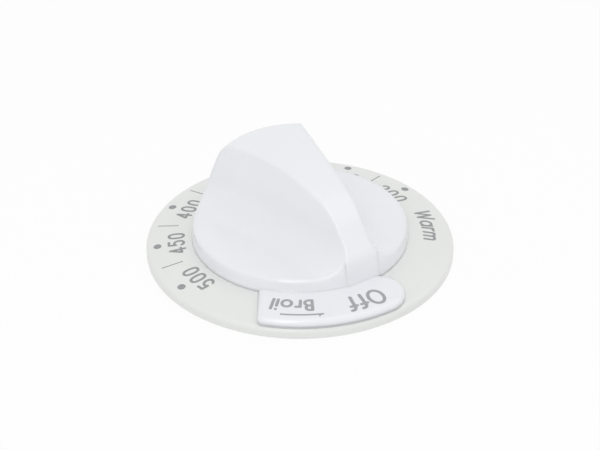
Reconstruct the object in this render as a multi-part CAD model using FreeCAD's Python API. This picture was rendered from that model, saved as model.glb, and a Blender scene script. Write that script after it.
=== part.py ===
import FreeCAD, Part
import math
import os

from FreeCAD import Vector

# Oven temperature knob: a moulded grip with a legend tab, over a numbered skirt that can be
# reset a few notches either way. The skirt is clamped from behind by a stamped plate and two screws.
# Origin: centre of the skirt's rim, which stands on z = 0. +Z points away from the oven's panel.
# The grip's narrow end, the reading mark, points to -Y. Lengths are in millimetres, angles in degrees.

# Skirt
skirt_radius = 38.0
skirt_face_height = 3.2
skirt_face_rise = 0.2
skirt_rim_round = 1.8
skirt_wall = 1.6
skirt_rim_wall = 1.8
hub_wall = 1.6
rim_edge_round = 0.3

# Grip body
boss_radius = 26.8
wall_mid_radius = 24.95
wall_mid_height = 12.3
shoulder_radius = 21.4
shoulder_height = 21.7
shoulder_round = 4.4
shoulder_end = 62.0
body_wall = 2.0
foot_gap = 0.25

# Side view of the crown: a long arch, the nose's bend, a slope, a second bend and the end face
crown_height = 24.95
crown_apex = 6.5
arch_radius = 62.0
arch_turn = 19.9
nose_radius = 14.0
nose_turn = 30.0
nose_slope_length = 6.8
toe_radius = 4.0
toe_turn = 32.0

# Plan view of the grip, half-widths at the reference height
reference_height = 24.0
side_draft = 7.6
waist_position = 4.0
waist_half_width = 5.73
side_slope = 10.7
heel_position = -15.6
heel_half_width = 10.9
nose_foot_half_width = 4.8
nose_draft = 2.0

# Scoops on both sides of the grip
scoop_floor_height = 7.5
scoop_round = 8.0
rim_round = 0.6

# Legend tab, which reaches over the skirt
tab_radius = 37.6
tab_height = 4.7
tab_edge_round = 1.2
tab_corner_round = 1.6
tab_lobe_radius = 6.3
tab_lobe_angle = 1.0
tab_side_offset = 9.65
tab_side_angle = -34.0
tab_gap = 0.25

# Seat of the skirt inside the boss
running_gap = 0.3
spigot_radius = 19.7
spigot_wall = 2.0
clamp_play = 0.1

# Stem and its socket for the valve's flatted shaft
stem_radius = 5.2
stem_end_height = 0.8
socket_radius = 3.25
socket_flat = 1.65
socket_depth = 15.8
stem_slot_width = 1.0
stem_slot_depth = 7.0
rib_thickness = 1.4
rib_height = 8.0

# Spring band round the stem
clip_thickness = 0.6
clip_length = 4.5
clip_offset = 1.0
clip_gap_angle = 56.0
clip_clearance = 0.05

# Clamp plate
plate_thickness = 1.0
plate_radius = 22.3
plate_arm_half_width = 8.0
plate_side_half_width = 4.5
plate_hub_radius = 11.0
plate_hole_clearance = 1.2
finger_tip_half_width = 1.6
nib_height = 0.35
nib_half_width = 0.6
nib_length = 1.6

# Reset notches under the skirt's hub
notch_pitch = 6.0
notch_count = 9
notch_band_depth = 0.4
notch_depth = 0.45
notch_half_width = 0.7

# Clamp screws
screw_spacing = 25.0
screw_radius = 1.4
screw_length = 9.0
screw_tip_length = 1.4
screw_head_radius = 2.8
screw_head_height = 1.7
screw_head_round = 0.9
screw_recess_depth = 1.1
screw_recess_width = 0.8
screw_recess_span = 3.0
screw_hole_clearance = 0.3
screw_pilot_clearance = 0.03
screw_column_radius = 3.0

# Heights and radii that follow from the values above
draft_ratio = math.tan(math.radians(side_draft))
foot_height = skirt_face_height + skirt_face_rise + foot_gap
hub_radius = boss_radius - body_wall - running_gap
hub_top = scoop_floor_height - body_wall - running_gap
hub_underside = hub_top - hub_wall
hub_bore_radius = spigot_radius + running_gap
plate_top = hub_underside - clamp_play
plate_bottom = plate_top - plate_thickness
far_out = 2.0 * skirt_radius
touching = 0.001
z_axis = Vector(0, 0, 1)
centre = Vector(0, 0, 0)


def profile_point(radius, height):
    return Vector(radius, 0, height)


def arc_about(middle, radius, start, end, place):
    """Arc about a point of a flat profile, between two directions measured from its first axis."""
    points = []
    for angle in (start, (start + end) / 2.0, end):
        turn = math.radians(angle)
        points.append(place(middle[0] + radius * math.cos(turn), middle[1] + radius * math.sin(turn)))
    return Part.Arc(*points).toShape()


def circle_through(first, second, third):
    """Centre and radius of the circle through three points of a flat profile."""
    ax, ay = second[0] - first[0], second[1] - first[1]
    bx, by = third[0] - first[0], third[1] - first[1]
    cross = 2.0 * (ax * by - ay * bx)
    first_square = ax * ax + ay * ay
    second_square = bx * bx + by * by
    x = (by * first_square - ay * second_square) / cross
    y = (ax * second_square - bx * first_square) / cross
    return (first[0] + x, first[1] + y), math.hypot(x, y)


def close_profile(edges, corners):
    """Face bounded by the edges, then by straight lines through the corners back to the start."""
    points = [edges[-1].Vertexes[-1].Point] + corners + [edges[0].Vertexes[0].Point]
    for start, end in zip(points, points[1:]):
        if start.distanceToPoint(end) > touching:
            edges.append(Part.LineSegment(start, end).toShape())
    return Part.Face(Part.Wire(edges))


def turned(face):
    return face.revolve(centre, z_axis, 360)


def tube(outer_radius, inner_radius, bottom, top):
    outer = Part.makeCylinder(outer_radius, top - bottom, Vector(0, 0, bottom))
    return outer.cut(Part.makeCylinder(inner_radius, top - bottom, Vector(0, 0, bottom)))


def block(x_range, y_range, z_range):
    size = [high - low for low, high in (x_range, y_range, z_range)]
    return Part.makeBox(size[0], size[1], size[2], Vector(x_range[0], y_range[0], z_range[0]))


def mirrored(shape):
    return shape.mirror(centre, Vector(1, 0, 0))


# Outer wall of the body: one arch from the boss's foot to the shoulder, then the shoulder's bend

wall_centre, wall_radius = circle_through(
    (boss_radius, foot_height), (wall_mid_radius, wall_mid_height), (shoulder_radius, shoulder_height))


def wall_direction(height, radius):
    return math.degrees(math.asin((height - wall_centre[1]) / radius))


def round_body(inset, bottom):
    """Turned body with its wall moved in by inset, reaching down to bottom."""
    radius = wall_radius - inset
    foot = wall_direction(foot_height, radius)
    shoulder = wall_direction(shoulder_height, wall_radius)
    bend = shoulder_round - inset
    reach = wall_radius - shoulder_round
    bend_centre = (wall_centre[0] + reach * math.cos(math.radians(shoulder)),
                   wall_centre[1] + reach * math.sin(math.radians(shoulder)))
    edges = [arc_about(wall_centre, radius, foot, shoulder, profile_point),
             arc_about(bend_centre, bend, shoulder, shoulder_end, profile_point)]
    foot_radius = edges[0].Vertexes[0].Point.x
    rim = edges[1].Vertexes[-1].Point
    dome_height = rim.z + rim.x / math.tan(math.radians(shoulder_end))
    corners = [profile_point(0, dome_height), profile_point(0, bottom), profile_point(foot_radius, bottom)]
    return turned(close_profile(edges, corners))


def side_point(toward_nose, height):
    return Vector(-far_out, -toward_nose, height)


def crown_prism(inset, bottom):
    """Everything under the crown's side view, from far behind the heel to the end face."""
    apex_centre = (-crown_apex, crown_height - arch_radius)
    reach = arch_radius - inset
    heel_turn = math.degrees(math.asin(0.5 * skirt_radius * 1.3 / arch_radius)) * 1.3
    edges = [arc_about(apex_centre, reach, 90.0 + heel_turn, 90.0 - arch_turn, side_point)]
    direction = 90.0 - arch_turn
    middle = apex_centre
    radius = arch_radius
    for next_radius, turn, run in ((nose_radius, nose_turn, nose_slope_length), (toe_radius, toe_turn, None)):
        shift = radius - next_radius
        middle = (middle[0] + shift * math.cos(math.radians(direction)),
                  middle[1] + shift * math.sin(math.radians(direction)))
        edges.append(arc_about(middle, next_radius - inset, direction, direction - turn, side_point))
        direction -= turn
        radius = next_radius
        if run:
            along = math.radians(direction - 90.0)
            end = edges[-1].Vertexes[-1].Point
            step = Vector(0, -run * math.cos(along), run * math.sin(along))
            edges.append(Part.LineSegment(end, end + step).toShape())
            middle = (middle[0] + run * math.cos(along), middle[1] + run * math.sin(along))
    toe = edges[-1].Vertexes[-1].Point
    lean = (toe.z - bottom) * math.tan(math.radians(direction))
    heel = edges[0].Vertexes[0].Point
    corners = [Vector(-far_out, toe.y - lean, bottom), Vector(-far_out, heel.y, bottom)]
    return close_profile(edges, corners).extrude(Vector(2.0 * far_out, 0, 0))


def nose_prism(inset, bottom):
    """Tapered upright bar that carries the nose's end face down past the boss."""
    foot = nose_foot_half_width - inset
    rise = crown_height - foot_height
    top = foot - math.tan(math.radians(nose_draft)) * rise
    front = 1.2 * boss_radius
    back = 0.7 * boss_radius
    outline = [(-foot, bottom), (foot, bottom), (foot, foot_height), (top, crown_height),
               (-top, crown_height), (-foot, foot_height)]
    points = [Vector(x, -back, z) for x, z in outline]
    face = Part.Face(Part.makePolygon(points + points[:1]))
    return face.extrude(Vector(0, back - front, 0))


def scoop_cutter(inset):
    """Space beside the grip on the +X side: a drafted wall, a floor and the large bend between them."""
    floor = scoop_floor_height - inset
    offset = draft_ratio * (reference_height - floor) - inset / math.cos(math.radians(side_draft))
    slope = math.radians(side_slope)
    waist = (waist_position, waist_half_width)
    normal = (math.sin(slope), math.cos(slope))
    to_heel = (heel_position - waist[0], heel_half_width - waist[1])
    lift = 2.0 * (to_heel[0] * normal[0] + to_heel[1] * normal[1])
    radius = (to_heel[0] ** 2 + to_heel[1] ** 2) / lift
    middle = (waist[0] + radius * normal[0], waist[1] + radius * normal[1])
    waist_turn = math.degrees(math.atan2(-normal[1], -normal[0]))
    heel_turn = waist_turn - math.degrees(1.2 * boss_radius / radius)
    run = 1.3 * boss_radius - waist_position

    def plan_point(toward_nose, sideways):
        return Vector(sideways + offset, -toward_nose, floor)

    wall = arc_about(middle, radius, heel_turn, waist_turn, plan_point)
    start = wall.Vertexes[-1].Point
    end = start + Vector(-run * math.tan(slope), -run, 0)
    edges = [wall, Part.LineSegment(start, end).toShape()]
    heel = wall.Vertexes[0].Point
    face = close_profile(edges, [Vector(far_out, end.y, floor), Vector(far_out, heel.y, floor)])
    rise = crown_height + skirt_face_height - floor
    cutter = face.extrude(Vector(-draft_ratio * rise, 0, rise))
    inner_edges = []
    for edge in cutter.Edges:
        middle_point = edge.CenterOfMass
        level = abs(middle_point.z - floor) < 0.01
        if level and middle_point.x < boss_radius and abs(middle_point.y) < boss_radius:
            inner_edges.append(edge)
    return cutter.makeFillet(scoop_round + inset, inner_edges)


def grip_form(inset, bottom):
    """Boss and grip as one closed form, with every wall moved in by inset."""
    blank = round_body(inset, bottom).fuse(nose_prism(inset, bottom))
    form = blank.common(crown_prism(inset, bottom))
    cutter = scoop_cutter(inset)
    return form.cut(cutter).cut(mirrored(cutter)).removeSplitter()


def edge_turn(shape, edge):
    """Angle between the two faces that meet at an edge's middle."""
    middle = edge.valueAt(0.5 * (edge.FirstParameter + edge.LastParameter))
    normals = []
    for face in shape.ancestorsOfType(edge, Part.Face):
        u, v = face.Surface.parameter(middle)
        normals.append(face.normalAt(u, v))
    return math.degrees(normals[0].getAngle(normals[-1]))


def rounded(form):
    """The form with its scoop rims and the crown's edges eased."""
    edges = []
    for edge in form.Edges:
        if edge.BoundBox.ZMin > foot_height + 0.5 and edge_turn(form, edge) > 8.0:
            edges.append(edge)
    return form.makeFillet(rim_round, edges)


# Skirt section, and the same section grown by a gap for what reaches over it

def skirt_top_edges(gap):
    """Face and rim of the skirt's upper side, from the boss outward, moved out by gap."""
    bend_radius = skirt_radius - skirt_rim_round
    bend_height = skirt_face_height - skirt_rim_round
    inner = profile_point(boss_radius, skirt_face_height + skirt_face_rise + gap)
    outer = profile_point(bend_radius, skirt_face_height + gap)
    face = Part.LineSegment(inner, outer).toShape()
    bend = arc_about((bend_radius, bend_height), skirt_rim_round + gap, 90.0, 0.0, profile_point)
    return [face, bend]


def skirt_envelope(gap):
    """All that lies below the skirt's upper side, with a gap."""
    edges = skirt_top_edges(gap)
    inner = edges[0].Vertexes[0].Point
    outer = edges[-1].Vertexes[-1].Point
    below = -far_out
    corners = [profile_point(outer.x, below), profile_point(0, below), profile_point(0, inner.z)]
    return turned(close_profile(edges, corners))


def legend_tab():
    """Tab moulded to the boss: straight on one side, with a round lobe under the reading mark."""
    side = math.radians(tab_side_angle)
    along = Vector(math.sin(side), -math.cos(side), 0)
    across = Vector(math.cos(side), math.sin(side), 0)
    lobe_turn = math.radians(tab_lobe_angle)
    lobe_direction = Vector(math.sin(lobe_turn), -math.cos(lobe_turn), 0)
    lobe_middle = lobe_direction * (tab_radius - tab_lobe_radius)
    height = tab_height
    disc = Part.makeCylinder(tab_radius, height)
    lobe = Part.makeCylinder(tab_lobe_radius, height, lobe_middle)
    corners = [centre - across * tab_side_offset, centre - across * tab_side_offset + along * far_out,
               lobe_direction * far_out, centre]
    wedge = Part.Face(Part.makePolygon(corners + corners[:1])).extrude(Vector(0, 0, height))
    plate = disc.common(wedge).fuse(lobe).removeSplitter()
    uprights = []
    for edge in plate.Edges:
        upright = edge.BoundBox.ZLength > 0.5 * height
        middle = edge.CenterOfMass
        on_corner = math.hypot(middle.x, middle.y) > tab_radius - 0.1
        if upright and on_corner and (middle - lobe_middle).dot(across) < -tab_lobe_radius:
            uprights.append(edge)
    plate = plate.makeFillet(tab_corner_round, uprights)
    inner_radius = boss_radius - 0.5 * body_wall
    top_edges = []
    for edge in plate.Edges:
        middle = edge.valueAt(0.5 * (edge.FirstParameter + edge.LastParameter))
        level = edge.BoundBox.ZLength < 0.01 and middle.z > height - 0.01
        if level and math.hypot(middle.x, middle.y) > inner_radius:
            top_edges.append(edge)
    plate = plate.makeFillet(tab_edge_round, top_edges)
    plate = plate.cut(Part.makeCylinder(inner_radius, height))
    return plate.cut(skirt_envelope(tab_gap))


def shaft_socket():
    """Round hole with one flat, open at the stem's end."""
    hole = Part.makeCylinder(socket_radius, socket_depth, Vector(0, 0, stem_end_height))
    beyond_flat = block((-far_out, far_out), (socket_flat, far_out), (-far_out, far_out))
    return hole.cut(beyond_flat)


def screw_places():
    half = 0.5 * screw_spacing
    return [Vector(0, -half, 0), Vector(0, half, 0)]


def stem_slot():
    half = 0.5 * stem_slot_width
    top = stem_end_height + stem_slot_depth
    return block((-2 * stem_radius, 2 * stem_radius), (-half, half), (0, top))


def body_innards():
    """Stem, screw columns, ribs and the spigot that the skirt turns on, before they are trimmed."""
    stem = Part.makeCylinder(stem_radius, crown_height, Vector(0, 0, stem_end_height))
    spigot = tube(spigot_radius, spigot_radius - spigot_wall, plate_top, scoop_floor_height)
    parts = [stem, spigot]
    for place in screw_places():
        parts.append(Part.makeCylinder(screw_column_radius, crown_height, Vector(place.x, place.y, plate_top)))
    half = 0.5 * rib_thickness
    parts.append(block((-half, half), (-boss_radius, boss_radius), (rib_height, crown_height)))
    return parts[0].multiFuse(parts[1:])


def make_knob_body():
    outer = rounded(grip_form(0.0, foot_height))
    cavity = grip_form(body_wall, 0.0)
    shell = outer.cut(cavity)
    kept = grip_form(0.5 * body_wall, 0.0)
    innards = body_innards().common(kept)
    body = shell.fuse(innards).fuse(legend_tab())
    body = body.cut(shaft_socket())
    body = body.cut(stem_slot().common(Part.makeCylinder(stem_radius + 1.0, crown_height)))
    pilot_depth = screw_length + 1.0 - plate_thickness
    for place in screw_places():
        start = Vector(place.x, place.y, plate_top)
        body = body.cut(Part.makeCylinder(screw_radius + screw_pilot_clearance, pilot_depth, start))
    return body.removeSplitter()


def notch_cutters():
    """Recessed band under the hub and the radial grooves that the plate's nib clicks into."""
    band_half_angle = 0.5 * (notch_count + 1) * notch_pitch
    inner = hub_bore_radius - 1.0
    outer = hub_radius - hub_wall
    top = hub_underside + notch_band_depth
    ring = tube(outer, inner, hub_underside - clamp_play, top)
    turn = math.radians(band_half_angle)
    reach = 2.0 * outer
    corners = [centre, Vector(reach * math.cos(turn), -reach * math.sin(turn), 0),
               Vector(reach * math.cos(turn), reach * math.sin(turn), 0)]
    wedge = Part.Face(Part.makePolygon(corners + corners[:1])).extrude(Vector(0, 0, crown_height))
    cutters = [ring.common(wedge)]
    groove_outline = [(-notch_half_width, top - 0.01), (notch_half_width, top - 0.01), (0, top + notch_depth)]
    points = [Vector(inner, y, z) for y, z in groove_outline]
    groove = Part.Face(Part.makePolygon(points + points[:1])).extrude(Vector(outer - inner, 0, 0))
    for index in range(notch_count):
        copy = groove.copy()
        copy.rotate(centre, z_axis, (index - 0.5 * (notch_count - 1)) * notch_pitch)
        cutters.append(copy)
    return cutters


def make_dial_skirt():
    edges = skirt_top_edges(0.0)
    face_height = skirt_face_height + skirt_face_rise
    rim_inner = skirt_radius - skirt_rim_wall
    hub_inner = hub_radius - hub_wall
    web = face_height - skirt_wall
    rise = skirt_face_rise * (boss_radius - hub_radius) / (skirt_radius - skirt_rim_round - boss_radius)
    corners = [profile_point(skirt_radius, rim_edge_round), profile_point(skirt_radius - rim_edge_round, 0),
               profile_point(rim_inner, 0), profile_point(rim_inner, web - skirt_face_rise),
               profile_point(hub_inner, web), profile_point(hub_inner, hub_underside),
               profile_point(hub_bore_radius, hub_underside), profile_point(hub_bore_radius, hub_top),
               profile_point(hub_radius, hub_top), profile_point(hub_radius, face_height + rise)]
    skirt = turned(close_profile(edges, corners))
    for cutter in notch_cutters():
        skirt = skirt.cut(cutter)
    return skirt


def make_clamp_plate():
    """Stamped cross: two broad arms under the screws, a pointer finger at +X and a plain arm at -X."""
    disc = Part.makeCylinder(plate_radius, plate_thickness, Vector(0, 0, plate_bottom))
    heights = (plate_bottom, plate_top)
    arms = block((-plate_arm_half_width, plate_arm_half_width), (-far_out, far_out), heights)
    side_arm = block((-far_out, 0), (-plate_side_half_width, plate_side_half_width), heights)
    outline = [(0, -plate_side_half_width), (plate_radius, -finger_tip_half_width),
               (plate_radius, finger_tip_half_width), (0, plate_side_half_width)]
    points = [Vector(x, y, plate_bottom) for x, y in outline]
    finger = Part.Face(Part.makePolygon(points + points[:1])).extrude(Vector(0, 0, plate_thickness))
    hub = Part.makeCylinder(plate_hub_radius, plate_thickness, Vector(0, 0, plate_bottom))
    plate = disc.common(arms.fuse(side_arm).fuse(finger).fuse(hub))
    nib_start = plate_radius - nib_length
    nib_outline = [(-nib_half_width, plate_top), (nib_half_width, plate_top), (0, plate_top + nib_height)]
    nib_points = [Vector(nib_start, y, z) for y, z in nib_outline]
    nib = Part.Face(Part.makePolygon(nib_points + nib_points[:1])).extrude(Vector(0.9 * nib_length, 0, 0))
    plate = plate.fuse(nib)
    plate = plate.cut(Part.makeCylinder(stem_radius + plate_hole_clearance, crown_height))
    for place in screw_places():
        plate = plate.cut(Part.makeCylinder(screw_radius + screw_hole_clearance, crown_height, place))
    return plate.removeSplitter()


def make_clamp_screw(place):
    """Pan-head tapping screw with a cross recess, its head under the plate and its tip up."""
    head_bottom = plate_bottom - screw_head_height
    bend_centre = (screw_head_radius - screw_head_round, head_bottom + screw_head_round)
    bend = arc_about(bend_centre, screw_head_round, -90.0, 0.0, profile_point)
    shank_end = plate_bottom + screw_length
    corners = [profile_point(screw_head_radius, plate_bottom), profile_point(screw_radius, plate_bottom),
               profile_point(screw_radius, shank_end - screw_tip_length),
               profile_point(0.3 * screw_radius, shank_end), profile_point(0, shank_end),
               profile_point(0, head_bottom)]
    screw = turned(close_profile([bend], corners))
    half_width = 0.5 * screw_recess_width
    half_span = 0.5 * screw_recess_span
    recess_top = head_bottom + screw_recess_depth
    outline = [(-half_span, head_bottom - 0.1), (half_span, head_bottom - 0.1), (0.35 * half_span, recess_top),
               (-0.35 * half_span, recess_top)]
    points = [Vector(x, -half_width, z) for x, z in outline]
    wing = Part.Face(Part.makePolygon(points + points[:1])).extrude(Vector(0, 2 * half_width, 0))
    other = wing.copy()
    other.rotate(centre, z_axis, 90)
    screw = screw.cut(wing.fuse(other))
    screw.translate(place)
    return screw


def make_shaft_clip():
    """Spring band that closes the slotted stem on the shaft, open beside the socket's flat."""
    inner = stem_radius + clip_clearance
    bottom = stem_end_height + clip_offset
    band = tube(inner + clip_thickness, inner, bottom, bottom + clip_length)
    half = math.radians(0.5 * clip_gap_angle)
    reach = 2.0 * stem_radius
    corners = [centre, Vector(reach * math.sin(half), reach * math.cos(half), 0),
               Vector(-reach * math.sin(half), reach * math.cos(half), 0)]
    opening = Part.Face(Part.makePolygon(corners + corners[:1])).extrude(Vector(0, 0, crown_height))
    return band.cut(opening)


def write(name, shape):
    shape.exportStep(os.path.join("parts", name + ".step"))
    print(name, "valid", shape.isValid(), "solids", len(shape.Solids), "volume", round(shape.Volume, 1))


os.makedirs("parts", exist_ok=True)
write("knob_body", make_knob_body())
write("dial_skirt", make_dial_skirt())
write("clamp_plate", make_clamp_plate())
for number, place in enumerate(screw_places(), start=1):
    write("clamp_screw_%d" % number, make_clamp_screw(place))
write("shaft_clip", make_shaft_clip())
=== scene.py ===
import math

import bmesh
import bpy
from mathutils import Matrix, Vector
from mathutils.bvhtree import BVHTree
from mathutils.geometry import delaunay_2d_cdt


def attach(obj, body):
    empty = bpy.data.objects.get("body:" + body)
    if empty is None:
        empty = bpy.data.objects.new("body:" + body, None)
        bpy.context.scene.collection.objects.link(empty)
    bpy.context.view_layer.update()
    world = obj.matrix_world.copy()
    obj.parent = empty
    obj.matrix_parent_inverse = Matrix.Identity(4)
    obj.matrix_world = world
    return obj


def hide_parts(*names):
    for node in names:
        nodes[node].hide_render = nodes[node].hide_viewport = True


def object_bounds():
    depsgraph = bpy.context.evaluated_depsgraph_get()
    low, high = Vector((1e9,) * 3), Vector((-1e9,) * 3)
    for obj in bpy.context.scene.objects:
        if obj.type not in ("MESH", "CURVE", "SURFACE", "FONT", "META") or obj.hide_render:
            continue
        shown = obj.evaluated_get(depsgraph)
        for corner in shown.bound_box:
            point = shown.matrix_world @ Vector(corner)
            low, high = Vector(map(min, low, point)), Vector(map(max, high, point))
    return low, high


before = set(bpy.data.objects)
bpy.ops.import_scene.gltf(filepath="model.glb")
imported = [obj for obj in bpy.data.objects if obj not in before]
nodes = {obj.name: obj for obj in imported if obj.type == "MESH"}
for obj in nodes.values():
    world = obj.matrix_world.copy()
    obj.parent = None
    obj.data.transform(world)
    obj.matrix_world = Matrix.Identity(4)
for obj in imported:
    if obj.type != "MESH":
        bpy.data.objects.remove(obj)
cadLow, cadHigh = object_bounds()
mm = 0.001


# A socket that takes Python's own arithmetic, so that shader maths reads as an expression
class Wire:
    def __init__(self, shade, socket):
        self.shade = shade
        self.socket = socket

    def calc(self, operation, other):
        return self.shade.node("ShaderNodeMath", {"operation": operation}, {0: self, 1: other})

    def __add__(self, other):
        return self.calc("ADD", other)

    def __mul__(self, other):
        return self.calc("MULTIPLY", other)

    __radd__ = __add__
    __rmul__ = __mul__


# One node tree: makes nodes, and feeds values or wires to their sockets
class Shade:
    def __init__(self, tree):
        self.tree = tree
        tree.nodes.clear()

    def feed(self, socket, value):
        if isinstance(value, Wire):
            self.tree.links.new(value.socket, socket)
        else:
            socket.default_value = value

    def node(self, kind, settings=None, sockets=None, output=0):
        made = self.tree.nodes.new(kind)
        for name, value in (settings or {}).items():
            setattr(made, name, value)
        for key, value in (sockets or {}).items():
            self.feed(made.inputs[key], value)
        return Wire(self, made.outputs[output]) if made.outputs else None

    def noise(self, size, detail=2.0):
        place = self.node("ShaderNodeTexCoord", output="Object")
        sockets = {"Vector": place, "Scale": 1.0 / size, "Detail": detail}
        return self.node("ShaderNodeTexNoise", None, sockets, "Fac")

    # A noise spread over 0 to 1 between two of its levels
    def patches(self, size, levels, detail=2.0):
        sockets = {"Value": self.noise(size, detail), "From Min": levels[0], "From Max": levels[1]}
        return self.node("ShaderNodeMapRange", None, sockets)

    def mixColour(self, factor, first, second):
        return self.node("ShaderNodeMix", {"data_type": "RGBA"}, {0: factor, 6: first, 7: second}, 2)

    # Bump on top of another normal; without one, on the mesh's own
    def bump(self, height, depth, normal=None):
        sockets = {"Height": height, "Distance": depth}
        if normal:
            sockets["Normal"] = normal
        return self.node("ShaderNodeBump", None, sockets)

    def surface(self, sockets):
        plain = self.node("ShaderNodeBsdfPrincipled", None, sockets)
        self.node("ShaderNodeOutputMaterial", None, {"Surface": plain})


def newMaterial(name):
    material = bpy.data.materials.new(name)
    material.use_nodes = True
    return material, Shade(material.node_tree)


def dress(nodeName, material):
    for slot in nodes[nodeName].material_slots:
        slot.material = material


def addObject(name, data):
    made = bpy.data.objects.new(name, data)
    bpy.context.scene.collection.objects.link(made)
    return made


def meshOf(net, name, material, sharpAngle=None):
    # mesh of a finished net; a sharp angle in degrees shades the rounds below it smooth
    bmesh.ops.recalc_face_normals(net, faces=net.faces[:])
    data = bpy.data.meshes.new(name)
    net.to_mesh(data)
    net.free()
    if sharpAngle:
        data.shade_smooth()
        data.set_sharp_from_angle(angle=math.radians(sharpAngle))
    data.materials.append(material)
    return data


# Moulded white plastic: a smooth gloss with a faint flow of tone and a fine skin
whitePlastic = {
    "flowLevels": (0.3, 0.7), "flowShare": 0.7, "grainShare": 0.3, "grainDetail": 3.0,
    "waveDetail": 1.0, "skinDepth": 0.003 * mm, "bevelSamples": 8, "ior": 1.5,
}
bodyPlastic = dict(
    whitePlastic, name="bodyWhite", tone=(0.838, 0.846, 0.878, 1), shade=(0.815, 0.824, 0.859, 1),
    flowSize=16 * mm, grainSize=0.55 * mm, waveSize=7 * mm, waveDepth=0.02 * mm,
    roughness=0.18, spread=0.04, edgeRound=1.5 * mm, coat=0.5, coatRoughness=0.12,
)
skirtPlastic = dict(
    whitePlastic, name="skirtWhite", tone=(0.790, 0.802, 0.785, 1), shade=(0.768, 0.780, 0.764, 1),
    flowSize=20 * mm, grainSize=0.5 * mm, waveSize=9 * mm, waveDepth=0.015 * mm,
    roughness=0.29, spread=0.06, edgeRound=None, coat=0.25, coatRoughness=0.15,
)


def mouldedPlastic(look):
    material, shade = newMaterial(look["name"])
    flow = shade.patches(look["flowSize"], look["flowLevels"])
    grain = shade.noise(look["grainSize"], look["grainDetail"])
    mottle = flow * look["flowShare"] + grain * look["grainShare"]
    roughness = grain * look["spread"] + flow * look["spread"] + look["roughness"]
    edges = None
    if look["edgeRound"]:
        settings = {"samples": look["bevelSamples"]}
        edges = shade.node("ShaderNodeBevel", settings, {"Radius": look["edgeRound"]})
    waves = shade.bump(shade.noise(look["waveSize"], look["waveDetail"]), look["waveDepth"], edges)
    shade.surface({
        "Base Color": shade.mixColour(mottle, look["tone"], look["shade"]), "Roughness": roughness,
        "Normal": shade.bump(grain, look["skinDepth"], waves), "IOR": look["ior"],
        "Coat Weight": look["coat"], "Coat Roughness": look["coatRoughness"],
    })
    return material


bodyFinish = mouldedPlastic(bodyPlastic)
skirtFinish = mouldedPlastic(skirtPlastic)
dress("knob_body", bodyFinish)
print("plastic done")

# The skirt, in millimetres and degrees: its face falls from a shallow seat round the boss to the rim
skirtShape = {
    "radius": 38.0, "rimWidth": 1.2, "sideHeight": 1.5, "footRound": 0.25, "fall": 6.0,
    "faceInner": 27.7, "faceInnerHeight": 3.62, "seatRadius": 27.0, "seatHeight": 3.6,
    "rimWall": 1.8, "webUnder": 1.6, "hubRadius": 24.5, "hubBore": 20.0, "hubTop": 5.2,
    "hubUnder": 3.6, "hubWall": 1.6, "bandHalf": 30.0, "bandDepth": 0.4, "notchPitch": 6.0,
    "notchReach": 24.0, "notchHalf": 1.87, "notchDepth": 0.45, "segments": 360, "rimSteps": 10,
    "sharpAngle": 32,
}


def faceLevel(shape, radius):
    # height of the sloping face
    fall = math.tan(math.radians(shape["fall"]))
    return shape["faceInnerHeight"] - (radius - shape["faceInner"]) * fall


def skirtSection(shape):
    # the turned section from the hub's bore over the face and rim to the underside, and the hub's foot
    faceEnd = shape["radius"] - shape["rimWidth"]
    rise = faceLevel(shape, faceEnd) - shape["sideHeight"]
    hubInner = shape["hubRadius"] - shape["hubWall"]
    rimInner = shape["radius"] - shape["rimWall"]
    small = shape["footRound"]
    points = [
        (shape["hubBore"], shape["hubTop"]),
        (shape["hubRadius"] - small, shape["hubTop"]),
        (shape["hubRadius"], shape["hubTop"] - small),
        (shape["hubRadius"], shape["seatHeight"]),
        (shape["seatRadius"], shape["seatHeight"]),
        (shape["faceInner"] - small, faceLevel(shape, shape["faceInner"]) - 0.5 * small),
        (shape["faceInner"] + small, faceLevel(shape, shape["faceInner"] + small)),
    ]
    for step in range(shape["rimSteps"] + 1):
        turn = 0.5 * math.pi * step / shape["rimSteps"]
        reach = faceEnd + shape["rimWidth"] * math.sin(turn)
        points.append((reach, shape["sideHeight"] + rise * math.cos(turn)))
    points += [
        (shape["radius"], small), (shape["radius"] - small, 0.0), (rimInner + small, 0.0),
        (rimInner, small), (rimInner, shape["webUnder"]), (hubInner, shape["webUnder"]),
    ]
    return points, [(hubInner, shape["hubUnder"]), (shape["hubBore"], shape["hubUnder"])]


def notchRise(shape, angle):
    # how far the hub's foot is cut back at this angle, for the band and its reset notches
    if abs(angle) > shape["bandHalf"]:
        return 0.0
    off = abs(angle - shape["notchPitch"] * round(angle / shape["notchPitch"]))
    if abs(angle) > shape["notchReach"] + shape["notchHalf"] or off > shape["notchHalf"]:
        return shape["bandDepth"]
    return shape["bandDepth"] + shape["notchDepth"] * (1.0 - off / shape["notchHalf"])


def makeSkirt(shape):
    section, hubFoot = skirtSection(shape)
    rings = []
    net = bmesh.new()
    for index in range(shape["segments"]):
        angle = 360.0 * index / shape["segments"] - 180.0
        across, along = math.cos(math.radians(angle)), math.sin(math.radians(angle))
        cut = notchRise(shape, angle)
        ring = []
        for radius, height in section + [(radius, height + cut) for radius, height in hubFoot]:
            ring.append(net.verts.new((radius * across * mm, radius * along * mm, height * mm)))
        rings.append(ring)
    for ring, following in zip(rings, rings[1:] + rings[:1]):
        for index in range(len(ring)):
            ahead = (index + 1) % len(ring)
            net.faces.new((ring[index], following[index], following[ahead], ring[ahead]))
    made = addObject("skirt_turned", meshOf(net, "skirt_turned", skirtFinish, shape["sharpAngle"]))
    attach(made, "skirt")
    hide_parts("dial_skirt")
    return made


skirt = makeSkirt(skirtShape)
print("skirt done")

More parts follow.
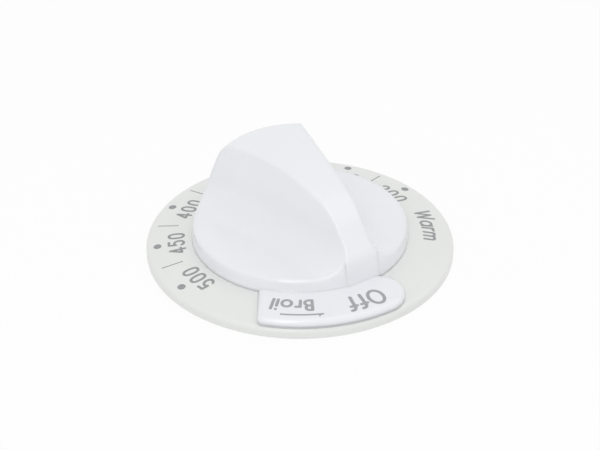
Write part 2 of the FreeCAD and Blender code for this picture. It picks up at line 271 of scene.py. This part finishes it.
# Sheet and wire metal: zinc plate on the clamp and its screws, oiled spring steel on the clip
rolledMetal = {"spangleLevels": (0.35, 0.65), "spangleDetail": 3.0}
clampMetal = dict(
    rolledMetal, name="zincPlate", tone=(0.62, 0.63, 0.65, 1), shade=(0.56, 0.57, 0.59, 1),
    spangle=1.6 * mm, grain=0.12 * mm, depth=0.006 * mm, roughness=0.32, spread=0.08,
)
screwMetal = dict(
    rolledMetal, name="zincScrew", tone=(0.66, 0.66, 0.68, 1), shade=(0.50, 0.50, 0.53, 1),
    spangle=1.1 * mm, grain=0.10 * mm, depth=0.005 * mm, roughness=0.29, spread=0.10,
)
springMetal = dict(
    rolledMetal, name="springSteel", tone=(0.30, 0.31, 0.33, 1), shade=(0.20, 0.205, 0.22, 1),
    spangle=1.8 * mm, grain=0.08 * mm, depth=0.004 * mm, roughness=0.30, spread=0.15,
)


def platedMetal(look):
    material, shade = newMaterial(look["name"])
    spangle = shade.patches(look["spangle"], look["spangleLevels"], look["spangleDetail"])
    grain = shade.noise(look["grain"])
    shade.surface({
        "Base Color": shade.mixColour(spangle, look["tone"], look["shade"]),
        "Roughness": spangle * look["spread"] + grain * look["spread"] + look["roughness"],
        "Normal": shade.bump(grain, look["depth"]), "Metallic": 1.0,
    })
    return material


dress("clamp_plate", platedMetal(clampMetal))
screwFinish = platedMetal(screwMetal)
dress("clamp_screw_1", screwFinish)
dress("clamp_screw_2", screwFinish)
dress("shaft_clip", platedMetal(springMetal))
print("metal done")

# Pad print: a matt grey ink, a little thin in places, and thinner on the tab
dialInk = {
    "name": "dialGrey", "tone": (0.285, 0.290, 0.297, 1), "thin": (0.36, 0.365, 0.37, 1),
    "mottle": 0.9 * mm, "mottleLevels": (0.4, 0.75), "mottleShare": 0.6, "grain": 0.15 * mm,
    "grainShare": 0.25, "roughness": 0.52, "spread": 0.12, "skin": 0.003 * mm,
}
tabInk = dict(dialInk, name="tabGrey", tone=(0.335, 0.340, 0.347, 1), thin=(0.42, 0.425, 0.43, 1))


def padInk(look):
    material, shade = newMaterial(look["name"])
    mottle = shade.patches(look["mottle"], look["mottleLevels"])
    grain = shade.noise(look["grain"])
    thinning = mottle * look["mottleShare"] + grain * look["grainShare"]
    shade.surface({
        "Base Color": shade.mixColour(thinning, look["tone"], look["thin"]),
        "Roughness": grain * look["spread"] + look["roughness"],
        "Normal": shade.bump(grain, look["skin"]),
    })
    return material


# Lettering: each character is a few pen strokes, in units of the capitals' height between pen centres
lettering = {"smallHeight": 0.66, "strokeSteps": 14, "discSteps": 12, "shortest": 1e-9, "joinSlack": 1e-7}


def bow(x, y, wide, high, start, end, squareness=2.0):
    # part of an oval about (x, y), squarer as squareness grows
    points = []
    power = 2.0 / squareness
    for step in range(lettering["strokeSteps"] + 1):
        turn = math.radians(start + (end - start) * step / lettering["strokeSteps"])
        across, up = math.cos(turn), math.sin(turn)
        points.append((x + wide * math.copysign(abs(across) ** power, across),
                       y + high * math.copysign(abs(up) ** power, up)))
    return points


def oval(wide, high, squareness=2.0):
    # closed oval in two halves, standing on the base line
    return [bow(wide, high, wide, high, start, start + 180, squareness) for start in (0, 180)]


def characterStrokes(character):
    # pen strokes and the width between the pen's outer centres
    low = lettering["smallHeight"]
    if character == "0":
        return oval(0.26, 0.5, 2.5), 0.52
    if character == "2":
        return [bow(0.25, 0.74, 0.24, 0.26, 165, -38) + [(0.0, 0.0), (0.5, 0.0)]], 0.50
    if character == "3":
        upper = bow(0.235, 0.765, 0.22, 0.235, 155, -90)
        lower = bow(0.235, 0.265, 0.26, 0.265, 90, -155)
        return [upper + lower], 0.50
    if character == "4":
        return [[(0.37, 0.0), (0.37, 1.0), (0.0, 0.27), (0.53, 0.27)]], 0.53
    if character == "5":
        bowl = bow(0.235, 0.325, 0.265, 0.325, 128, -150)
        return [[(0.46, 1.0), (0.08, 1.0), (0.04, 0.56)] + bowl], 0.50
    if character == "W":
        return [[(0.0, 1.0), (0.23, 0.0), (0.475, 0.92), (0.72, 0.0), (0.95, 1.0)]], 0.95
    if character == "a":
        return oval(0.27, 0.5 * low, 2.2) + [[(0.54, 0.0), (0.54, low)]], 0.54
    if character == "r":
        return [[(0.0, 0.0), (0.0, low)], bow(0.22, low - 0.24, 0.22, 0.24, 180, 75)], 0.26
    if character == "m":
        arches = [[(0.0, 0.0), (0.0, low)]]
        for side in (0.0, 0.39):
            arches.append(bow(side + 0.195, low - 0.2, 0.195, 0.2, 180, 0) + [(side + 0.39, 0.0)])
        return arches, 0.78
    if character == "O":
        return oval(0.36, 0.5), 0.72
    if character == "f":
        hook = [(0.13, 0.0)] + bow(0.33, 0.8, 0.2, 0.2, 180, 82)
        return [hook, [(0.0, low + 0.03), (0.32, low + 0.03)]], 0.33
    if character == "B":
        upper = [(0.0, 1.0), (0.2, 1.0)] + bow(0.2, 0.765, 0.2, 0.235, 90, -90) + [(0.0, 0.53)]
        lower = [(0.0, 0.53), (0.2, 0.53)] + bow(0.2, 0.265, 0.26, 0.265, 90, -90) + [(0.0, 0.0)]
        return [upper, lower, [(0.0, 0.0), (0.0, 1.0)]], 0.46
    if character == "o":
        return oval(0.3, 0.5 * low), 0.60
    if character == "i":
        return [[(0.0, 0.0), (0.0, low)], [(0.0, 0.99), (0.0, 1.01)]], 0.0
    return [[(0.0, 0.0), (0.0, 1.0)]], 0.0  # the letter l


def penShapes(points, pen):
    # flat shapes that a round pen leaves along a line: a bar for each step and a disc at each point
    shapes = []
    for start, end in zip(points, points[1:]):
        first, second = Vector(start), Vector(end)
        along = second - first
        if along.length < lettering["shortest"]:
            continue
        side = Vector((-along.y, along.x)).normalized() * pen / 2
        shapes.append([first - side, second - side, second + side, first + side])
    for point in points:
        disc = []
        for step in range(lettering["discSteps"]):
            turn = 2 * math.pi * step / lettering["discSteps"]
            disc.append(Vector(point) + Vector((math.cos(turn), math.sin(turn))) * pen / 2)
        shapes.append(disc)
    return shapes


def joinShapes(shapes):
    # all shapes together as one flat net without overlaps, less the faces that no shape covers
    points = []
    faces = []
    for shape in shapes:
        faces.append(list(range(len(points), len(points) + len(shape))))
        points.extend(shape)
    result = delaunay_2d_cdt(points, [], faces, 1, lettering["joinSlack"])
    corners, triangles, sources = result[0], result[2], result[5]
    return corners, [face for face, covers in zip(triangles, sources) if covers]


def surfaceOf(mesh):
    corners = [vertex.co.copy() for vertex in mesh.vertices]
    return BVHTree.FromPolygons(corners, [polygon.vertices[:] for polygon in mesh.polygons])


printFilm = {"above": 0.03 * mm, "below": 0.06 * mm, "rayStart": 2 * cadHigh.z}


class PrintSheet:
    # gathers printed marks for one carrier and turns them into a thin film on its upper face
    def __init__(self, name, carrier, body, ink):
        self.name = name
        self.body = body
        self.ink = ink
        self.surface = surfaceOf(carrier.data)
        self.mesh = bmesh.new()

    def height(self, x, y):
        hit = self.surface.ray_cast(Vector((x, y, printFilm["rayStart"])), Vector((0, 0, -1)))
        return hit[0].z

    # flat net in metres, with a matrix that lays it on the dial
    def mark(self, net, lay):
        points, faces = net
        tops = []
        feet = []
        for point in points:
            place = lay @ Vector((point.x, point.y, 0))
            level = self.height(place.x, place.y)
            tops.append(self.mesh.verts.new((place.x, place.y, level + printFilm["above"])))
            feet.append(self.mesh.verts.new((place.x, place.y, level - printFilm["below"])))
        edges = set()
        for face in faces:
            self.mesh.faces.new([tops[index] for index in face])
            self.mesh.faces.new([feet[index] for index in reversed(face)])
            edges.update(zip(face, face[1:] + face[:1]))
        for first, second in sorted(edges):
            if (second, first) not in edges:
                self.mesh.faces.new([tops[second], tops[first], feet[first], feet[second]])

    def finish(self):
        loose = [vertex for vertex in self.mesh.verts if not vertex.link_faces]
        bmesh.ops.delete(self.mesh, geom=loose, context="VERTS")
        made = addObject(self.name, meshOf(self.mesh, self.name, self.ink))
        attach(made, self.body)


def dialPoint(angle, radius):
    # point of the dial at this angle from the front
    turn = math.radians(angle)
    return Vector((math.sin(turn), -math.cos(turn), 0)) * radius


def dialPlace(angle, radius):
    # matrix for a mark at this angle from the front, its top pointing outward
    outward = dialPoint(angle, 1.0)
    along = Vector((outward.y, -outward.x, 0))
    place = outward * radius
    return Matrix(((along.x, outward.x, 0, place.x), (along.y, outward.y, 0, place.y),
                   (0, 0, 1, 0), (0, 0, 0, 1)))


def layWord(sheet, text, style):
    # the word's characters one by one round the dial, read clockwise, centred on an angle
    pen = style["pen"] * mm
    scale = (style["height"] - style["pen"]) * mm
    base = (style["radius"] + 0.5 * style["pen"]) * mm
    middle = base + 0.5 * scale
    lean = math.tan(math.radians(style["lean"]))
    gap = style["gap"] * mm
    drawn = [characterStrokes(character) for character in text]
    rooms = [scale * width + pen for strokes, width in drawn]
    reach = -0.5 * (sum(rooms) + gap * (len(text) - 1))
    for (strokes, width), room in zip(drawn, rooms):
        shapes = []
        for stroke in strokes:
            points = []
            for x, y in stroke:
                points.append(((x - 0.5 * width) * scale + lean * (y - 0.5) * scale, y * scale))
            shapes += penShapes(points, pen)
        angle = style["angle"] - math.degrees((reach + 0.5 * room) / middle)
        sheet.mark(joinShapes(shapes), dialPlace(angle, base))
        reach += room + gap


# Numbers round the skirt, with a dot over each and a tick between; millimetres and degrees
numberStyle = {"radius": 28.45, "height": 4.3, "pen": 0.66, "lean": 1.0, "gap": 0.68}
warmStyle = {"angle": 63.2, "radius": 30.4, "height": 4.6, "pen": 0.66, "lean": 4.0, "gap": 0.42}
numberMarks = {
    "first": 500, "last": 200, "step": 50, "firstAngle": -85.6, "stepAngle": -30.0,
    "dotRadius": 35.25, "dotSize": 1.95, "dotSteps": 32, "tickInner": 30.6, "tickOuter": 35.9,
    "tickPen": 0.30,
}


def makeDialPrint(marks):
    sheet = PrintSheet("dial_print", skirt, "skirt", padInk(dialInk))
    half = 0.5 * marks["tickPen"] * mm
    length = (marks["tickOuter"] - marks["tickInner"]) * mm
    corners = [(-half, 0), (half, 0), (half, length), (-half, length)]
    tick = joinShapes([[Vector(corner) for corner in corners]])
    disc = []
    for step in range(marks["dotSteps"]):
        turn = 2 * math.pi * step / marks["dotSteps"]
        disc.append(Vector((math.cos(turn), math.sin(turn))) * marks["dotSize"] * mm / 2)
    dot = joinShapes([disc])
    numbers = range(marks["first"], marks["last"] - 1, -marks["step"])
    for index, number in enumerate(numbers):
        angle = marks["firstAngle"] + index * marks["stepAngle"]
        layWord(sheet, str(number), dict(numberStyle, angle=angle))
        sheet.mark(dot, dialPlace(angle, marks["dotRadius"] * mm))
        if number > marks["last"]:
            sheet.mark(tick, dialPlace(angle + 0.5 * marks["stepAngle"], marks["tickInner"] * mm))
    layWord(sheet, "Warm", warmStyle)
    sheet.finish()


# Words and the arrow on the tab
offStyle = {"angle": -6.9, "radius": 30.35, "height": 5.65, "pen": 0.80, "lean": 3.0, "gap": 0.15}
broilStyle = {"angle": -37.2, "radius": 29.4, "height": 4.35, "pen": 0.72, "lean": 1.0, "gap": 0.36}
arrowMark = {
    "radius": 35.1, "pen": 0.5, "tail": -41.3, "head": -25.2, "headLength": 1.9, "headOut": 0.95,
    "steps": 18,
}


def makeTabPrint(arrow):
    sheet = PrintSheet("tab_print", nodes["knob_body"], "knob", padInk(tabInk))
    layWord(sheet, "Off", offStyle)
    layWord(sheet, "Broil", broilStyle)
    innerRadius = (arrow["radius"] - arrow["pen"] / 2) * mm
    outerRadius = (arrow["radius"] + arrow["pen"] / 2) * mm
    inner = []
    outer = []
    for step in range(arrow["steps"] + 1):
        angle = arrow["tail"] + (arrow["head"] - arrow["tail"]) * step / arrow["steps"]
        inner.append(dialPoint(angle, innerRadius).xy)
        outer.append(dialPoint(angle, outerRadius).xy)
    bars = []
    for index in range(arrow["steps"]):
        bars.append([inner[index], inner[index + 1], outer[index + 1], outer[index]])
    back = arrow["head"] - arrow["headLength"]
    barb = dialPoint(back, (arrow["radius"] + arrow["headOut"]) * mm).xy
    bars.append([inner[-1], barb, dialPoint(back, innerRadius).xy])
    sheet.mark(joinShapes(bars), Matrix.Identity(4))
    sheet.finish()


makeDialPrint(numberMarks)
makeTabPrint(arrowMark)
print("print done")

# Lower half of the tab's edge, down to the sloping face: straight on one side, a round lobe on the other
tabShape = {
    "radius": 37.58, "lobeRadius": 6.28, "lobeAngle": 1.0, "lobeTurn": 150.0, "sideOffset": 9.63,
    "sideAngle": -34.0, "cornerRound": 1.58, "innerRadius": 27.8, "gap": 0.04, "top": 3.75,
    "leastDepth": 0.05, "steps": 16, "sharpAngle": 40,
}


def turned(turn):
    # unit vector at this turn from the x axis, in radians
    return Vector((math.cos(turn), math.sin(turn)))


def tabOutline(shape):
    # plan of the tab beyond the boss
    steps = shape["steps"]
    side = math.radians(shape["sideAngle"])
    along = Vector((math.sin(side), -math.cos(side)))
    across = turned(side)
    offset = -shape["sideOffset"]
    inset = offset + shape["cornerRound"]
    reach = shape["radius"] - shape["cornerRound"]
    corner = across * inset + along * math.sqrt(reach ** 2 - inset ** 2)
    points = [across * offset + along * math.sqrt(shape["innerRadius"] ** 2 - offset ** 2)]
    start = math.atan2(-across.y, -across.x)
    end = math.atan2(corner.y, corner.x)
    for step in range(steps + 1):
        turn = start + ((end - start) % (2 * math.pi)) * step / steps
        points.append(corner + turned(turn) * shape["cornerRound"])
    lobe = math.radians(shape["lobeAngle"] - 90.0)
    for step in range(1, steps + 1):
        points.append(turned(end + (lobe - end) * step / steps) * shape["radius"])
    middle = turned(lobe) * (shape["radius"] - shape["lobeRadius"])
    for step in range(1, 2 * steps + 1):
        turn = lobe + math.radians(shape["lobeTurn"]) * step / (2 * steps)
        point = middle + turned(turn) * shape["lobeRadius"]
        if point.length > shape["innerRadius"]:
            points.append(point)
    last = math.atan2(points[-1].y, points[-1].x)
    first = math.atan2(points[0].y, points[0].x)
    for step in range(steps):
        points.append(turned(last + (first - last) * step / steps) * shape["innerRadius"])
    return points


def makeTabEdge(shape):
    points = tabOutline(shape)
    faceEnd = skirtShape["radius"] - skirtShape["rimWidth"]
    lowest = shape["top"] - shape["leastDepth"]
    net = bmesh.new()
    tops = []
    feet = []
    for point in points:
        foot = faceLevel(skirtShape, min(point.length, faceEnd)) + shape["gap"]
        tops.append(net.verts.new((point.x * mm, point.y * mm, shape["top"] * mm)))
        feet.append(net.verts.new((point.x * mm, point.y * mm, min(foot, lowest) * mm)))
    net.faces.new(tops)
    net.faces.new(list(reversed(feet)))
    for index in range(len(points)):
        ahead = (index + 1) % len(points)
        net.faces.new((tops[ahead], tops[index], feet[index], feet[ahead]))
    bmesh.ops.triangulate(net, faces=[face for face in net.faces if len(face.verts) > 4])
    made = addObject("tab_edge", meshOf(net, "tab_edge", bodyFinish, shape["sharpAngle"]))
    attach(made, "knob")


makeTabEdge(tabShape)
print("tab edge done")

# Camera where the photograph was taken from; angles in degrees, distances in metres
cameraPlace = {
    "turn": -34.0, "lift": 33.938, "distance": 0.300, "lens": 72.126, "sensor": 36, "drop": 0.0325,
    "near": 0.01, "far": 20,
}


def aimAtPart(thing, turn, lift, distance):
    # puts it at this turn from the camera and lift above the floor, looking at the part
    around = math.radians(cameraPlace["turn"] + turn)
    up = math.radians(lift)
    away = Vector((math.sin(around) * math.cos(up), -math.cos(around) * math.cos(up), math.sin(up)))
    thing.location = away * distance
    thing.rotation_euler = (-thing.location).to_track_quat("-Z", "Y").to_euler()


def makeCamera(look):
    data = bpy.data.cameras.new("camera")
    data.lens = look["lens"]
    data.sensor_width = look["sensor"]
    data.shift_y = look["drop"]
    data.clip_start = look["near"]
    data.clip_end = look["far"]
    camera = addObject("camera", data)
    aimAtPart(camera, 0, look["lift"], look["distance"])
    bpy.context.scene.camera = camera


makeCamera(cameraPlace)

# Soft boxes, placed by their turn from the camera and their lift above the floor
softBoxes = {
    "key": {"turn": -12, "lift": 50, "distance": 0.9, "width": 0.24, "height": 0.95, "power": 1.98},
    "side": {"turn": 100, "lift": 62, "distance": 0.9, "width": 0.75, "height": 0.9, "power": 0.84},
}


def makeSoftBox(name, look):
    data = bpy.data.lights.new(name, "AREA")
    data.shape = "RECTANGLE"
    data.size = look["width"]
    data.size_y = look["height"]
    data.energy = look["power"]
    aimAtPart(addObject(name, data), look["turn"], look["lift"], look["distance"])


for boxName, boxLook in softBoxes.items():
    makeSoftBox(boxName, boxLook)

# Pale floor that reads as white paper and keeps a light shadow, under a plain white sky
floorLook = {
    "size": 4.0, "tone": (0.90, 0.90, 0.90, 1), "mark": (0.84, 0.84, 0.84, 1), "markShare": 0.1,
    "grain": 6 * mm, "grainDetail": 3.0, "lift": 0.88,
}
skyLook = {"light": 0.75, "seen": 1.0, "colour": (1, 1, 1, 1)}


def seenPlainly(shade):
    # 1 for what the camera, a mirror or clear plastic sees, 0 for the light that falls on things
    path = shade.node("ShaderNodeLightPath", output="Is Camera Ray")
    rays = path.socket.node.outputs
    return path + Wire(shade, rays["Is Glossy Ray"]) + Wire(shade, rays["Is Transmission Ray"])


def makeFloor(look):
    material, shade = newMaterial("palePaper")
    grain = shade.noise(look["grain"], look["grainDetail"])
    tone = shade.mixColour(grain * look["markShare"], look["tone"], look["mark"])
    paper = shade.node("ShaderNodeBsdfDiffuse", None, {"Color": tone})
    sockets = {"Color": skyLook["colour"], "Strength": skyLook["seen"]}
    glow = shade.node("ShaderNodeEmission", None, sockets)
    lift = seenPlainly(shade) * look["lift"]
    lifted = shade.node("ShaderNodeMixShader", None, {0: lift, 1: paper, 2: glow})
    shade.node("ShaderNodeOutputMaterial", None, {"Surface": lifted})
    half = look["size"] / 2
    data = bpy.data.meshes.new("floor")
    corners = [(-half, -half, 0), (half, -half, 0), (half, half, 0), (-half, half, 0)]
    data.from_pydata(corners, [], [(0, 1, 2, 3)])
    data.materials.append(material)
    addObject("floor", data)


def makeSky(look):
    world = bpy.data.worlds.new("studio")
    world.use_nodes = True
    bpy.context.scene.world = world
    shade = Shade(world.node_tree)
    dim, white = [
        shade.node("ShaderNodeBackground", None, {"Color": look["colour"], "Strength": look[strength]})
        for strength in ("light", "seen")]
    sky = shade.node("ShaderNodeMixShader", None, {0: seenPlainly(shade), 1: dim, 2: white})
    shade.node("ShaderNodeOutputWorld", None, {"Surface": sky})


makeFloor(floorLook)
makeSky(skyLook)
bpy.context.scene.view_settings.view_transform = "Standard"
print("stage done")
